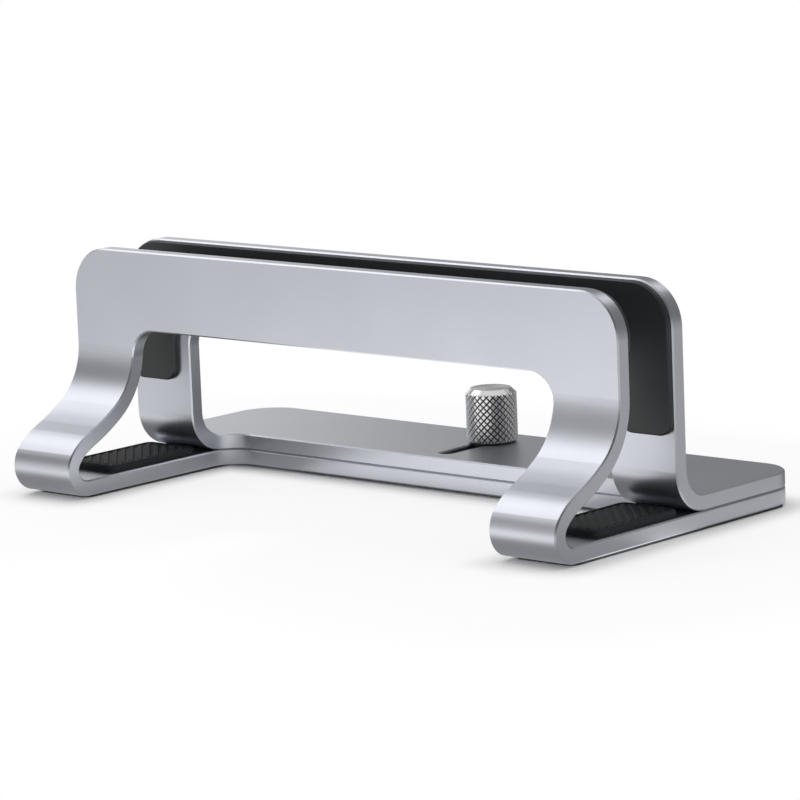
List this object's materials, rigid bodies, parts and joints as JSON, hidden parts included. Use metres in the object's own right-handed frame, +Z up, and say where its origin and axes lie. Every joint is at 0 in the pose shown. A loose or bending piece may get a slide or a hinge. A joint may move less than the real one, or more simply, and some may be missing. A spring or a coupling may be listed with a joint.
{
  "type": "vertical laptop stand",
  "caption": "Bent aluminium desk stand that holds a closed laptop upright between padded walls; the rear wall slides to set the width and a knurled knob locks it.",
  "frame": {"origin": "on the desk, under the middle of the footprint, with the laptop slot at its narrowest", "axes": "+X along the walls to the right seen from the front, +Y from the front wall to the rear wall, +Z up"},
  "size_m": [0.2, 0.1056, 0.0682],
  "materials": {
    "anodised_sheet": "satin bead-blasted and anodised, silver grey",
    "silicone": "matt black silicone",
    "ribbed_silicone": "matt black silicone with ribs",
    "foot_rubber": "matt black rubber",
    "turned_knob": "bright turned metal with a diamond knurl",
    "screw_steel": "plain steel",
    "nylon": "black nylon"
  },
  "bodies": {
    "base": {"front_bracket": "anodised_sheet", "front_wall_pad": "silicone", "left_rest_pad": "ribbed_silicone", "right_rest_pad": "ribbed_silicone", "left_foot": "foot_rubber", "right_foot": "foot_rubber"},
    "slider": {"rear_bracket": "anodised_sheet", "rear_wall_pad": "silicone"},
    "washer": {"knob_washer": "nylon"},
    "knob": {"clamp_knob": "turned_knob", "clamp_screw": "screw_steel"}
  },
  "joints": [
    {"name": "rear_slide", "type": "slide", "parent": "base", "child": "slider", "axis": [0, 1, 0], "range_m": [0, 0.019]},
    {"name": "knob_lift", "type": "slide", "parent": "base", "child": "washer", "axis": [0, 0, 1], "range_m": [0, 0.00106]},
    {"name": "knob_turn", "type": "hinge", "parent": "washer", "child": "knob", "pos_m": [0, 0.0402, 0.0103], "axis": [0, 0, 1], "range_deg": [0, 540]}
  ],
  "couplings": [
    {"joint": "knob_lift", "follows": "knob_turn", "m_per_rad": 0.00011141}
  ]
}
